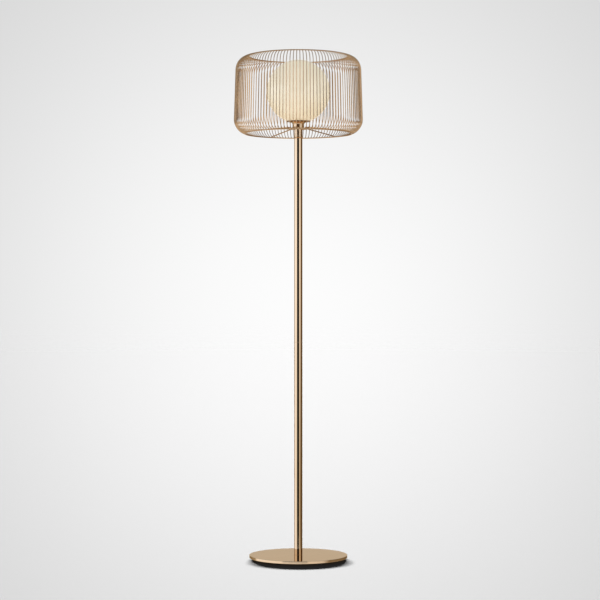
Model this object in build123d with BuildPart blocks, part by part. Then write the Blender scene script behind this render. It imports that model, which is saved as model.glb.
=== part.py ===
from build123d import *

import os
from math import acos, asin, cos, sin, sqrt

# A floor lamp: a thin round plate, a tube pole in two screwed lengths, and a drum-shaped cage
# of bent wires round an opal glass globe. The origin is on the floor, on the lamp's own axis,
# with +Z up and +Y to the lamp's back, where the cord leaves the pole. Sizes are in millimetres.

os.makedirs("parts", exist_ok=True)

# ---------------------------------------------------------------- fits and clearances
press_gap = 0.05  # between a pressed or screwed piece and the wall round it
weld_gap = 0.05  # between two pieces that a weld bead joins
running_gap = 0.3  # between curved faces that move past each other

# ---------------------------------------------------------------- base
base_radius = 152.5
base_thickness = 8.0
base_edge = 1.2  # chamfer round both rims
foot_height = 6.0
foot_radius = 9.0
foot_edge = 1.0
foot_count = 6
foot_circle_radius = 132.0
foot_recess = 0.8  # each foot is glued in a shallow seat

bolt_radius = 5.0
bolt_head_width = 17.0  # across the flats
bolt_head_height = 5.0
bolt_grip = 16.0  # how far the shank reaches into the foot plug
bolt_hole_gap = 0.4
washer_radius = 11.0
washer_thickness = 1.6
lock_washer_radius = 9.0
lock_washer_thickness = 0.9
lock_washer_teeth = 10
lock_washer_notch = 1.1
counterbore_gap = 1.5
counterbore_depth = 4.0

# ---------------------------------------------------------------- pole
pole_radius = 12.7
pole_wall = 1.2
pole_lower_length = 661.0
pole_upper_length = 640.0
plug_length = 24.0
bush_length = 18.0
nipple_radius = 5.0
nipple_bore = 3.6
nipple_grip = 15.0  # how far a nipple is screwed into each bush

# ---------------------------------------------------------------- lead and its outlet
lead_radius = 2.6
outlet_height = 46.0  # above the top face of the base
outlet_bend = 13.0
outlet_shift = 5.6  # the lead leans to the front before it turns out
outlet_ease = 60.0  # length over which it leans
outlet_ease_bend = 150.0
bushing_barrel = 5.2
bushing_flange = 7.4
bushing_flange_depth = 2.4
bushing_tail = 2.5  # behind the wall, inside the tube
bushing_gap = 0.1

# ---------------------------------------------------------------- hub, neck and gallery
sleeve_height = 22.5
hub_radius = 35.0
hub_thickness = 2.5
hub_edge = 0.6
neck_radius = 18.0
neck_flare = 22.5
neck_height = 19.0
neck_wall = 1.4
neck_flare_height = 5.5
nut_width = 14.0
nut_height = 4.0
gallery_radius = 38.0
gallery_sheet = 1.0
gallery_floor = 27.0  # radius of the flat floor inside the step
gallery_step = 1.5
gallery_step_width = 2.0
gasket_inner = 30.4
gasket_outer = 37.4
gasket_thickness = 1.2
spring_count = 3
spring_start = 90.0
spring_width = 7.0
spring_sheet = 0.5
spring_foot = 21.6
spring_heel = 25.4
spring_bulge_height = 8.0
spring_height = 17.0
spring_rise = 2.0
rivet_radius = 1.2
rivet_place = 23.3
rivet_head = 1.8
rivet_head_height = 0.8

# ---------------------------------------------------------------- globe
globe_radius = 99.0
globe_wall = 2.5
globe_mouth = 30.0

# ---------------------------------------------------------------- lampholder
holder_cap_height = 18.0
holder_cap_base = 9.0
holder_radius = 19.0
holder_wall = 2.0
holder_body_height = 34.0
holder_lip = 3.0
holder_joint = 2.0  # the body laps over the cap by this much
insert_height = 9.0
shell_radius = 13.6
shell_sheet = 0.4
shell_height = 22.0
contact_width = 5.0
contact_sheet = 0.5
contact_reach = 9.0
contact_rise = 3.0

# ---------------------------------------------------------------- bulb
cap_radius = 13.1
cap_height = 18.0
cap_tip = 5.0
cap_tip_height = 3.0
cap_shoulder = 9.5
cap_shoulder_height = 3.0
bulb_radius = 22.5
housing_height = 24.0
bulb_collar = 2.0

# ---------------------------------------------------------------- cage
wire_count = 120
wire_width = 2.0  # the square section stands for a round 2.2 wire
drum_radius_low = 199.0
drum_radius_high = 194.0
corner_low = 45.0
corner_high = 42.0
corner_chords = 4
ring_rod = 1.75
bottom_ring_radius = 167.0
top_ring_radius = 153.0
cage_height = 240.5  # from ring centre to ring centre
ring_drop = 16.5  # from the hub's top face down to the bottom ring's centre
arm_count = 5
arm_rod = 1.75
arm_start = 48.0  # degrees from +X
arm_inner = 23.5
arm_bend_radius = 12.0
arm_flat = 34.0  # radius where an arm leaves the hub and slopes down

# ---------------------------------------------------------------- heights worked out
base_top = foot_height + base_thickness
seam_z = base_top + pole_lower_length
pole_top = seam_z + pole_upper_length
hub_bottom = pole_top + sleeve_height
hub_top = hub_bottom + hub_thickness
neck_top = hub_top + neck_height
gallery_top = neck_top + gallery_sheet
rim_seat = gallery_top + gallery_step
globe_rim = rim_seat + gasket_thickness
globe_inner = globe_radius - globe_wall
globe_centre = globe_rim + sqrt(globe_inner**2 - globe_mouth**2)
bottom_ring_z = hub_top - ring_drop
top_ring_z = bottom_ring_z + cage_height
tube_bore = pole_radius - pole_wall
thread_bore = nipple_radius + press_gap
outlet_z = base_top + outlet_height

# ================================================================ base
counterbore_top = foot_height + counterbore_depth
counterbore_radius = washer_radius + counterbore_gap

with BuildPart() as base_plate:
    with BuildSketch(Plane.XY.offset(foot_height)):
        Circle(base_radius)
    extrude(amount=base_thickness)
    chamfer(base_plate.edges(), base_edge)
    with BuildSketch(Plane.XY.offset(foot_height)):
        with PolarLocations(foot_circle_radius, foot_count):
            Circle(foot_radius + press_gap)
    extrude(amount=foot_recess, mode=Mode.SUBTRACT)
    with Locations(Location((0, 0, foot_height), (180, 0, 0))):
        CounterBoreHole(bolt_radius + bolt_hole_gap, counterbore_radius, counterbore_depth)
base_plate.part.label = "base_plate"
export_step(base_plate.part, "parts/base_plate.step")

with BuildPart() as base_feet:
    with BuildSketch():
        with PolarLocations(foot_circle_radius, foot_count):
            Circle(foot_radius)
    extrude(amount=foot_height + foot_recess)
    chamfer(base_feet.edges().group_by(Axis.Z)[0], foot_edge)
base_feet.part.label = "base_feet"
export_step(base_feet.part, "parts/base_feet.step")

washer_bottom = counterbore_top - washer_thickness
with BuildPart() as base_washer:
    with BuildSketch(Plane.XY.offset(washer_bottom)):
        Circle(washer_radius)
        Circle(bolt_radius + bolt_hole_gap, mode=Mode.SUBTRACT)
    extrude(amount=washer_thickness)
base_washer.part.label = "base_washer"
export_step(base_washer.part, "parts/base_washer.step")

lock_washer_bottom = washer_bottom - lock_washer_thickness
with BuildPart() as lock_washer:
    with BuildSketch(Plane.XY.offset(lock_washer_bottom)):
        Circle(lock_washer_radius)
        Circle(bolt_radius + bolt_hole_gap, mode=Mode.SUBTRACT)
        with PolarLocations(lock_washer_radius, lock_washer_teeth):
            Rectangle(lock_washer_notch * 2, lock_washer_notch, mode=Mode.SUBTRACT)
    extrude(amount=lock_washer_thickness)
lock_washer.part.label = "lock_washer"
export_step(lock_washer.part, "parts/lock_washer.step")

with BuildPart() as base_bolt:
    with BuildSketch(Plane.XY.offset(lock_washer_bottom - bolt_head_height)):
        RegularPolygon(bolt_head_width / 2, 6, major_radius=False)
    extrude(amount=bolt_head_height)
    with BuildSketch(Plane.XY.offset(lock_washer_bottom)):
        Circle(bolt_radius)
    extrude(amount=base_top + bolt_grip - lock_washer_bottom)
base_bolt.part.label = "base_bolt"
export_step(base_bolt.part, "parts/base_bolt.step")

# ================================================================ pole
with BuildPart() as foot_plug:
    with BuildSketch(Plane.XY.offset(base_top)):
        Circle(tube_bore - press_gap)
        Circle(bolt_radius + press_gap, mode=Mode.SUBTRACT)
    extrude(amount=plug_length)
foot_plug.part.label = "foot_plug"
export_step(foot_plug.part, "parts/foot_plug.step")

with BuildPart() as pole_lower:
    with BuildSketch(Plane.XY.offset(base_top)):
        Circle(pole_radius)
        Circle(tube_bore, mode=Mode.SUBTRACT)
    extrude(amount=pole_lower_length)
    with BuildSketch(Plane.XZ):
        with Locations((0, outlet_z)):
            Circle(bushing_barrel + bushing_gap)
    extrude(amount=-pole_radius * 2, mode=Mode.SUBTRACT)
pole_lower.part.label = "pole_lower"
export_step(pole_lower.part, "parts/pole_lower.step")

# The bushing snaps into the hole from outside. Its flange is cut to the curve of the tube, and
# a second, thinner lip holds it behind the wall.
bushing_face = pole_radius + bushing_flange_depth
bushing_back = tube_bore - bushing_tail
with BuildPart() as cord_bushing:
    with BuildSketch(Plane.XZ):
        with Locations((0, outlet_z)):
            Circle(bushing_flange)
    extrude(amount=-bushing_face)
    with BuildSketch(Plane.XY.offset(base_top)):
        Circle(pole_radius + bushing_gap)
    extrude(amount=2 * outlet_height, mode=Mode.SUBTRACT)
    with BuildSketch(Plane.XZ.offset(-bushing_back)):
        with Locations((0, outlet_z)):
            Circle(bushing_barrel)
    extrude(amount=bushing_back - bushing_face)
    with BuildSketch(Plane.XZ):
        with Locations((0, outlet_z)):
            Circle(lead_radius + bushing_gap)
    extrude(amount=-2 * bushing_face, mode=Mode.SUBTRACT)
cord_bushing.part.label = "cord_bushing"
export_step(cord_bushing.part, "parts/cord_bushing.step")

with BuildPart() as joint_bush_lower:
    with BuildSketch(Plane.XY.offset(seam_z - bush_length)):
        Circle(tube_bore - press_gap)
        Circle(thread_bore, mode=Mode.SUBTRACT)
    extrude(amount=bush_length)
joint_bush_lower.part.label = "joint_bush_lower"
export_step(joint_bush_lower.part, "parts/joint_bush_lower.step")

with BuildPart() as joint_bush_upper:
    with BuildSketch(Plane.XY.offset(seam_z)):
        Circle(tube_bore - press_gap)
        Circle(thread_bore, mode=Mode.SUBTRACT)
    extrude(amount=bush_length)
joint_bush_upper.part.label = "joint_bush_upper"
export_step(joint_bush_upper.part, "parts/joint_bush_upper.step")

with BuildPart() as joint_nipple:
    with BuildSketch(Plane.XY.offset(seam_z - nipple_grip)):
        Circle(nipple_radius)
        Circle(nipple_bore, mode=Mode.SUBTRACT)
    extrude(amount=2 * nipple_grip)
joint_nipple.part.label = "joint_nipple"
export_step(joint_nipple.part, "parts/joint_nipple.step")

with BuildPart() as pole_upper:
    with BuildSketch(Plane.XY.offset(seam_z)):
        Circle(pole_radius)
        Circle(tube_bore, mode=Mode.SUBTRACT)
    extrude(amount=pole_upper_length)
pole_upper.part.label = "pole_upper"
export_step(pole_upper.part, "parts/pole_upper.step")

with BuildPart() as pole_top_bush:
    with BuildSketch(Plane.XY.offset(pole_top - bush_length)):
        Circle(tube_bore - press_gap)
        Circle(thread_bore, mode=Mode.SUBTRACT)
    extrude(amount=bush_length)
pole_top_bush.part.label = "pole_top_bush"
export_step(pole_top_bush.part, "parts/pole_top_bush.step")

# ================================================================ stem
# The hollow stem ties the whole head together: it screws into the top of the pole and passes
# through the sleeve, the hub, the neck cup and the gallery into the lampholder's cap.
holder_floor = gallery_top + holder_wall
stem_top = holder_floor + nut_height
with BuildPart() as stem_nipple:
    with BuildSketch(Plane.XY.offset(pole_top - nipple_grip)):
        Circle(nipple_radius)
        Circle(nipple_bore, mode=Mode.SUBTRACT)
    extrude(amount=stem_top - pole_top + nipple_grip)
stem_nipple.part.label = "stem_nipple"
export_step(stem_nipple.part, "parts/stem_nipple.step")

with BuildPart() as coupling_sleeve:
    with BuildSketch(Plane.XY.offset(pole_top)):
        Circle(pole_radius)
        Circle(thread_bore, mode=Mode.SUBTRACT)
    extrude(amount=sleeve_height)
coupling_sleeve.part.label = "coupling_sleeve"
export_step(coupling_sleeve.part, "parts/coupling_sleeve.step")

nut_bottom = hub_top + neck_wall
with BuildPart() as stem_nut:
    with BuildSketch(Plane.XY.offset(nut_bottom)):
        RegularPolygon(nut_width / 2, 6, major_radius=False)
        Circle(thread_bore, mode=Mode.SUBTRACT)
    extrude(amount=nut_height)
stem_nut.part.label = "stem_nut"
export_step(stem_nut.part, "parts/stem_nut.step")

# ================================================================ neck and gallery
with BuildPart() as neck_cup:
    with BuildSketch(Plane.XZ):
        with BuildLine():
            Polyline(
                (thread_bore, hub_top),
                (neck_radius, hub_top),
                (neck_radius, neck_top - neck_flare_height),
                (neck_flare, neck_top),
                (neck_flare - neck_wall, neck_top),
                (neck_radius - neck_wall, neck_top - neck_flare_height),
                (neck_radius - neck_wall, nut_bottom),
                (thread_bore, nut_bottom),
                close=True,
            )
        make_face()
    revolve(axis=Axis.Z)
neck_cup.part.label = "neck_cup"
export_step(neck_cup.part, "parts/neck_cup.step")

# A spun dish: a flat floor for the lampholder, a small step, and the raised seat of the gasket.
gallery_seat = gallery_floor + gallery_step_width
with BuildPart() as gallery_plate:
    with BuildSketch(Plane.XZ):
        with BuildLine():
            Polyline(
                (thread_bore, neck_top),
                (gallery_floor, neck_top),
                (gallery_seat, neck_top + gallery_step),
                (gallery_radius, neck_top + gallery_step),
                (gallery_radius, rim_seat),
                (gallery_seat, rim_seat),
                (gallery_floor, gallery_top),
                (thread_bore, gallery_top),
                close=True,
            )
        make_face()
    revolve(axis=Axis.Z)
    with BuildSketch(Plane.XY.offset(neck_top)):
        with PolarLocations(rivet_place, spring_count, start_angle=spring_start):
            Circle(rivet_radius + press_gap)
    extrude(amount=gallery_sheet, mode=Mode.SUBTRACT)
gallery_plate.part.label = "gallery_plate"
export_step(gallery_plate.part, "parts/gallery_plate.step")

with BuildPart() as gallery_gasket:
    with BuildSketch(Plane.XY.offset(rim_seat)):
        Circle(gasket_outer)
        Circle(gasket_inner, mode=Mode.SUBTRACT)
    extrude(amount=gasket_thickness)
gallery_gasket.part.label = "gallery_gasket"
export_step(gallery_gasket.part, "parts/gallery_gasket.step")

# One leaf spring, drawn at +X and then repeated. Its bulge only just clears the mouth of the
# glass, so that the globe can be drawn straight up off it.
spring_bulge = globe_mouth - running_gap - spring_sheet / 2
spring_floor = gallery_top + spring_sheet / 2
with BuildPart() as one_spring:
    with BuildSketch(Plane.XZ):
        with BuildLine():
            Polyline(
                (spring_foot, spring_floor),
                (spring_heel, spring_floor),
                (spring_heel + spring_rise, spring_floor + spring_rise),
                (spring_bulge, spring_floor + spring_bulge_height),
                (spring_heel, spring_floor + spring_height),
            )
        trace(line_width=spring_sheet)
    extrude(amount=spring_width / 2, both=True)
    with BuildSketch(Plane.XY.offset(gallery_top)):
        with Locations((rivet_place, 0)):
            Circle(rivet_radius + press_gap)
    extrude(amount=spring_rise, mode=Mode.SUBTRACT)

with BuildPart() as globe_springs:
    with PolarLocations(0, spring_count, start_angle=spring_start):
        add(one_spring.part)
globe_springs.part.label = "globe_springs"
export_step(globe_springs.part, "parts/globe_springs.step")

spring_top = gallery_top + spring_sheet
with BuildPart() as spring_rivets:
    with BuildSketch(Plane.XY.offset(neck_top)):
        with PolarLocations(rivet_place, spring_count, start_angle=spring_start):
            Circle(rivet_radius)
    extrude(amount=spring_top - neck_top)
    with BuildSketch(Plane.XY.offset(spring_top)):
        with PolarLocations(rivet_place, spring_count, start_angle=spring_start):
            Circle(rivet_head)
    extrude(amount=rivet_head_height)
spring_rivets.part.label = "spring_rivets"
export_step(spring_rivets.part, "parts/spring_rivets.step")

# ================================================================ globe
# A blown ball with a ground rim, where it stands on the gasket.
rim_outer = sqrt(globe_radius**2 - (globe_centre - globe_rim) ** 2)
with BuildPart() as globe:
    with BuildSketch(Plane.XZ):
        with BuildLine():
            outside = ThreePointArc(
                (rim_outer, globe_rim),
                (globe_radius, globe_centre),
                (0, globe_centre + globe_radius),
            )
            inside = ThreePointArc(
                (globe_mouth, globe_rim),
                (globe_inner, globe_centre),
                (0, globe_centre + globe_inner),
            )
            Line(outside @ 0, inside @ 0)
            Line(outside @ 1, inside @ 1)
        make_face()
    revolve(axis=Axis.Z)
globe.part.label = "globe"
export_step(globe.part, "parts/globe.step")

# ================================================================ lampholder
cap_top = gallery_top + holder_cap_height
holder_bore = holder_radius - holder_wall
with BuildPart() as holder_cap:
    with BuildSketch(Plane.XZ):
        with BuildLine():
            Polyline(
                (thread_bore, gallery_top),
                (holder_cap_base, gallery_top),
                (holder_bore - press_gap, cap_top - holder_joint - holder_wall),
                (holder_bore - press_gap, cap_top),
                (holder_bore - holder_wall, cap_top),
                (holder_bore - holder_wall, cap_top - holder_joint - holder_wall),
                (holder_cap_base, holder_floor),
                (thread_bore, holder_floor),
                close=True,
            )
        make_face()
    revolve(axis=Axis.Z)
holder_cap.part.label = "holder_cap"
export_step(holder_cap.part, "parts/holder_cap.step")

with BuildPart() as holder_insert:
    with BuildSketch(Plane.XY.offset(cap_top)):
        Circle(holder_bore - press_gap)
        Circle(lead_radius + bushing_gap, mode=Mode.SUBTRACT)
    extrude(amount=insert_height)
holder_insert.part.label = "holder_insert"
export_step(holder_insert.part, "parts/holder_insert.step")

insert_top = cap_top + insert_height
body_bottom = cap_top - holder_joint
body_top = body_bottom + holder_body_height
with BuildPart() as holder_body:
    with BuildSketch(Plane.XZ):
        with BuildLine():
            Polyline(
                (holder_bore, body_bottom),
                (holder_radius, body_bottom),
                (holder_radius, body_top),
                (shell_radius + shell_sheet + press_gap, body_top),
                (shell_radius + shell_sheet + press_gap, body_top - holder_lip),
                (holder_bore, body_top - holder_lip),
                close=True,
            )
        make_face()
    revolve(axis=Axis.Z)
holder_body.part.label = "holder_body"
export_step(holder_body.part, "parts/holder_body.step")

with BuildPart() as screw_shell:
    with BuildSketch(Plane.XY.offset(insert_top)):
        Circle(shell_radius + shell_sheet)
        Circle(shell_radius, mode=Mode.SUBTRACT)
    extrude(amount=shell_height)
screw_shell.part.label = "screw_shell"
export_step(screw_shell.part, "parts/screw_shell.step")

contact_floor = insert_top + contact_sheet / 2
with BuildPart() as centre_contact:
    with BuildSketch(Plane.XZ):
        with BuildLine():
            Polyline(
                (contact_reach, contact_floor),
                (lead_radius + contact_rise, contact_floor),
                (lead_radius, contact_floor + contact_rise),
                (-lead_radius, contact_floor + contact_rise),
            )
        trace(line_width=contact_sheet)
    extrude(amount=contact_width / 2, both=True)
centre_contact.part.label = "centre_contact"
export_step(centre_contact.part, "parts/centre_contact.step")

# ================================================================ lead
# The length of lead that the lamp holds: from the lampholder down the stem and both tubes, then
# out through the bushing at the back.
with BuildPart() as inner_lead:
    with BuildLine(Plane.YZ):
        FilletPolyline(
            (0, insert_top),
            (0, outlet_z + outlet_bend + 2 * outlet_ease),
            (-outlet_shift, outlet_z + outlet_bend + outlet_ease),
            (-outlet_shift, outlet_z),
            (bushing_face, outlet_z),
            radius=[outlet_ease_bend, outlet_ease_bend, outlet_bend],
        )
    with BuildSketch(Plane.XY.offset(insert_top)):
        Circle(lead_radius)
    sweep()
inner_lead.part.label = "inner_lead"
export_step(inner_lead.part, "parts/inner_lead.step")

# ================================================================ bulb
tip_bottom = contact_floor + contact_rise + contact_sheet / 2 + running_gap
shoulder_z = tip_bottom + cap_tip_height
thread_bottom = shoulder_z + cap_shoulder_height
thread_top = thread_bottom + cap_height
housing_top = thread_top + housing_height

with BuildPart() as bulb_tip:
    with BuildSketch(Plane.XZ):
        with BuildLine():
            Polyline(
                (0, tip_bottom),
                (cap_tip, tip_bottom),
                (cap_shoulder, shoulder_z),
                (0, shoulder_z),
                close=True,
            )
        make_face()
    revolve(axis=Axis.Z)
bulb_tip.part.label = "bulb_tip"
export_step(bulb_tip.part, "parts/bulb_tip.step")

with BuildPart() as bulb_cap:
    with BuildSketch(Plane.XZ):
        with BuildLine():
            Polyline(
                (0, shoulder_z),
                (cap_shoulder, shoulder_z),
                (cap_radius, thread_bottom),
                (cap_radius, thread_top),
                (0, thread_top),
                close=True,
            )
        make_face()
    revolve(axis=Axis.Z)
bulb_cap.part.label = "bulb_cap"
export_step(bulb_cap.part, "parts/bulb_cap.step")

with BuildPart() as bulb_housing:
    with BuildSketch(Plane.XZ):
        with BuildLine():
            Polyline(
                (0, thread_top),
                (cap_radius, thread_top),
                (cap_radius, thread_top + bulb_collar),
                (bulb_radius, housing_top),
                (0, housing_top),
                close=True,
            )
        make_face()
    revolve(axis=Axis.Z)
bulb_housing.part.label = "bulb_housing"
export_step(bulb_housing.part, "parts/bulb_housing.step")

dome_top = housing_top + bulb_radius
with BuildPart() as bulb_dome:
    with BuildSketch(Plane.XZ):
        with BuildLine():
            CenterArc((0, housing_top), bulb_radius, 0, 90)
            Polyline((0, dome_top), (0, housing_top), (bulb_radius, housing_top))
        make_face()
    revolve(axis=Axis.Z)
bulb_dome.part.label = "bulb_dome"
export_step(bulb_dome.part, "parts/bulb_dome.step")

# ================================================================ cage
with BuildPart() as spider_hub:
    with BuildSketch(Plane.XY.offset(hub_bottom)):
        Circle(hub_radius)
        Circle(thread_bore, mode=Mode.SUBTRACT)
    extrude(amount=hub_thickness)
    chamfer(spider_hub.edges().filter_by(GeomType.CIRCLE).group_by(SortBy.RADIUS)[-1], hub_edge)
spider_hub.part.label = "spider_hub"
export_step(spider_hub.part, "parts/spider_hub.step")

with BuildPart() as bottom_ring:
    with BuildSketch(Plane.XZ):
        with Locations((bottom_ring_radius, bottom_ring_z)):
            Circle(ring_rod)
    revolve(axis=Axis.Z)
bottom_ring.part.label = "bottom_ring"
export_step(bottom_ring.part, "parts/bottom_ring.step")

with BuildPart() as top_ring:
    with BuildSketch(Plane.XZ):
        with Locations((top_ring_radius, top_ring_z)):
            Circle(ring_rod)
    revolve(axis=Axis.Z)
top_ring.part.label = "top_ring"
export_step(top_ring.part, "parts/top_ring.step")

# Each arm lies flat on the hub, then slopes down and rests on top of the bottom ring.
arm_seat = hub_top + arm_rod + weld_gap
arm_end_z = bottom_ring_z + ring_rod + arm_rod + weld_gap
with BuildPart() as one_arm:
    with BuildLine(Plane.XZ):
        FilletPolyline(
            (arm_inner, arm_seat),
            (arm_flat, arm_seat),
            (bottom_ring_radius, arm_end_z),
            radius=arm_bend_radius,
        )
    with BuildSketch(Plane.YZ.offset(arm_inner)):
        with Locations((0, arm_seat)):
            Circle(arm_rod)
    sweep()

with BuildPart() as spider_arms:
    with PolarLocations(0, arm_count, start_angle=arm_start):
        add(one_arm.part)
spider_arms.part.label = "spider_arms"
export_step(spider_arms.part, "parts/spider_arms.step")


def corner_angles(ring_radius, drum_radius, corner):
    """Angles about a corner's centre, from the drum to where the wire meets its ring."""
    ring_angle = acos((ring_radius - drum_radius + corner) / corner)
    last = ring_angle - 2 * asin((ring_rod + weld_gap) / (2 * corner))
    return [last * index / corner_chords for index in range(corner_chords + 1)]


def corner_rise(ring_radius, drum_radius, corner):
    """Height from a corner's centre to the centre of its ring."""
    return sqrt(corner**2 - (ring_radius - drum_radius + corner) ** 2)


# A wire bends in short straight chords, so that many wires stay light to draw. It runs from
# the bottom ring, round the low corner, up the drum and round the high corner to the top ring.
low_centre_r = drum_radius_low - corner_low
low_centre_z = bottom_ring_z + corner_rise(bottom_ring_radius, drum_radius_low, corner_low)
high_centre_r = drum_radius_high - corner_high
high_centre_z = top_ring_z - corner_rise(top_ring_radius, drum_radius_high, corner_high)
low_angles = corner_angles(bottom_ring_radius, drum_radius_low, corner_low)
high_angles = corner_angles(top_ring_radius, drum_radius_high, corner_high)
low_points = [
    (low_centre_r + corner_low * cos(angle), low_centre_z - corner_low * sin(angle))
    for angle in reversed(low_angles)
]
high_points = [
    (high_centre_r + corner_high * cos(angle), high_centre_z + corner_high * sin(angle))
    for angle in high_angles
]

with BuildPart() as one_wire:
    with BuildSketch(Plane.XZ):
        with BuildLine():
            Polyline(low_points + high_points)
        trace(line_width=wire_width)
    extrude(amount=wire_width / 2, both=True)

# No wire stands where an arm does: the arms lie midway between two wires.
wire_pitch = 360 / wire_count
with BuildPart() as cage_wires:
    with PolarLocations(0, wire_count, start_angle=arm_start + wire_pitch / 2):
        add(one_wire.part)
cage_wires.part.label = "cage_wires"
export_step(cage_wires.part, "parts/cage_wires.step")
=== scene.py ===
import bmesh
import bpy
import numpy as np
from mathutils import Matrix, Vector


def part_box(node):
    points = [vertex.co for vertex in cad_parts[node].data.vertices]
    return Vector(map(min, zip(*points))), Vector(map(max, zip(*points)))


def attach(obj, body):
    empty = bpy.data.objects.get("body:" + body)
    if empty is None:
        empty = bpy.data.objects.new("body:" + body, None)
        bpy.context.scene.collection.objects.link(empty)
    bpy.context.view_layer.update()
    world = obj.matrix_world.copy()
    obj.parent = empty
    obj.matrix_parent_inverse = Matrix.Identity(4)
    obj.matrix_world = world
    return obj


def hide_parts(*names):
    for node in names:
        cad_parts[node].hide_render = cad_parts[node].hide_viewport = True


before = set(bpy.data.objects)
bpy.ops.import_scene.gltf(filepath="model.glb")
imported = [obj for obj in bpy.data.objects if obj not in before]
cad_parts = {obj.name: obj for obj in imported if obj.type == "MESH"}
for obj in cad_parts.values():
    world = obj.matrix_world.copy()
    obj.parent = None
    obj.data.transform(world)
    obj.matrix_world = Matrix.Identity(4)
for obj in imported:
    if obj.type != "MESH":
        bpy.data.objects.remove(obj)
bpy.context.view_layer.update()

# ================================================================ base plate
# The lamp's weight: a disc cut from steel sheet. Its rim is rounded on the lathe, and it is
# polished in rings and plated French gold, a pale gold with some copper in it. A counterbore
# underneath takes the head of the bolt that draws the pole down on it.
plate_low, plate_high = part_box("base_plate")
plate_radius = plate_high.x
plate_round = 0.0009
plate_bore = 0.0054
counterbore_radius = 0.0125
counterbore_top = plate_low.z + 0.004
counterbore_round = 0.0004
french_gold = "#F3D9BC", "#EACEAB", "#CDBFAA"  # as plated, worn, and at a glancing angle
plate_roughness = 0.0385, 0.077  # least and most
ring_mark = 0.0011  # real marks are finer; drawn this wide so that they show
mark_height = 0.0000011
gold_cloud = 0.0714  # size of the slow changes of tone and shine
sharp_edge = np.radians(40)


def linear(hex_colour):
    """A hex sRGB colour as linear red, green, blue and alpha."""
    srgb = np.array([int(hex_colour[i : i + 2], 16) for i in (1, 3, 5)]) / 255
    light = np.where(srgb <= 0.04045, srgb / 12.92, ((srgb + 0.055) / 1.055) ** 2.4)
    return (*light, 1.0)


def feed(tree, node, feeds):
    """Feeds a node's sockets: each takes a value, an output, or a node's first live output."""
    for socket, source in feeds.items():
        if isinstance(source, bpy.types.Node):
            source = next(output for output in source.outputs if output.enabled)
        if isinstance(source, bpy.types.NodeSocket):
            tree.links.new(source, node.inputs[socket])
        else:
            node.inputs[socket].default_value = source


def add_node(tree, kind, feeds=None, **settings):
    """One node with its settings and its feeds."""
    node = tree.nodes.new(kind)
    for name, value in settings.items():
        setattr(node, name, value)
    feed(tree, node, feeds or {})
    return node


def new_finish(name, constants):
    """A material named for its finish, its node tree, its shader with constants set on the
    sockets, and the place of a point on the object, which patterns read."""
    material = bpy.data.materials.new(name)
    material.use_nodes = True
    tree = material.node_tree
    shader = tree.nodes["Principled BSDF"]
    feed(tree, shader, constants)
    return material, tree, shader, add_node(tree, "ShaderNodeTexCoord").outputs["Object"]


def gold_plating(name, colours, roughness, lay, mark):
    """Bright gold over polished metal. The wheel's marks are noise stretched along their lay:
    "rings" reads only the distance from the lamp's axis, "hoops" only the height. Clouds of
    noise, which seldom leave 0.3 to 0.7, change its tone and shine."""
    plated, worn, glancing = map(linear, colours)
    constants = {"Metallic": 1.0, "Specular Tint": glancing}
    material, tree, shader, place = new_finish(name, constants)
    axes = add_node(tree, "ShaderNodeSeparateXYZ", {0: place})
    flat = add_node(tree, "ShaderNodeCombineXYZ", {0: axes.outputs[0], 1: axes.outputs[1]})
    radius = add_node(tree, "ShaderNodeVectorMath", {0: flat}, operation="LENGTH")
    lines = {"W": radius if lay == "rings" else axes.outputs[2], "Scale": 1 / mark, "Detail": 3.0}
    marks = add_node(tree, "ShaderNodeTexNoise", lines, noise_dimensions="1D")
    slow = {"Vector": place, "Scale": 1 / gold_cloud, "Detail": 4.0}
    clouds = add_node(tree, "ShaderNodeTexNoise", slow)
    spread = {0: clouds, 1: 0.3, 2: 0.7, 3: roughness[0], 4: roughness[1]}
    shine = add_node(tree, "ShaderNodeMapRange", spread)
    tone = add_node(tree, "ShaderNodeMix", {0: clouds, 6: plated, 7: worn}, data_type="RGBA")
    bump = add_node(tree, "ShaderNodeBump", {"Height": marks, "Distance": mark_height})
    feed(tree, shader, {"Base Color": tone, "Roughness": shine, "Normal": bump})
    return material


def rounded(*corners, steps=5):
    """A profile from its corners: radius, height and rounding of each. The arc at corner c runs
    from a to b, and is (a(1-t)^2 + 2wct(1-t) + bt^2) / ((1-t)^2 + 2wt(1-t) + t^2), with w the
    cosine of half the turn. A point on each side of an arc keeps the flats beside it flat."""
    c, rounding = np.split(np.array(corners, float), [2], axis=1)
    back, on = np.roll(c, 1, 0) - c, np.roll(c, -1, 0) - c
    back /= np.linalg.norm(back, axis=1, keepdims=True)
    on /= np.linalg.norm(on, axis=1, keepdims=True)
    half_turn = np.arccos(np.clip(-(back * on).sum(1), -1, 1))[:, None] / 2
    reach = rounding * np.tan(half_turn)
    a, b = c + back * reach, c + on * reach
    w, t = np.cos(half_turn)[:, None], np.linspace(0, 1, steps + 1)[:, None]
    top = a[:, None] * (1 - t) ** 2 + 2 * w * c[:, None] * t * (1 - t) + b[:, None] * t**2
    arcs = top / ((1 - t) ** 2 + 2 * w * t * (1 - t) + t**2)
    guard = 0.3 * reach
    before, after = (a + back * guard)[:, None], (b + on * guard)[:, None]
    return np.concatenate([before, arcs, after], axis=1).reshape(-1, 2)


def closed(profile):
    """The same profile with its first point again at its end."""
    return np.concatenate([profile, profile[:1]])


def points(*axes):
    """Points from arrays of their coordinates, which are broadcast together."""
    return np.stack(np.broadcast_arrays(*axes), -1)


def turned(profile, sides):
    """A lathe surface: point i, j is the profile's point i, swung round +Z by turn j / sides."""
    radius, height = np.asarray(profile, float).T[:, :, None]
    angle = np.linspace(0, 2 * np.pi, sides + 1)
    return points(radius * np.cos(angle), radius * np.sin(angle), height)


def lathed(sides, *corners):
    """A closed profile of rounded corners, turned."""
    return turned(closed(rounded(*corners)), sides)


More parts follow.
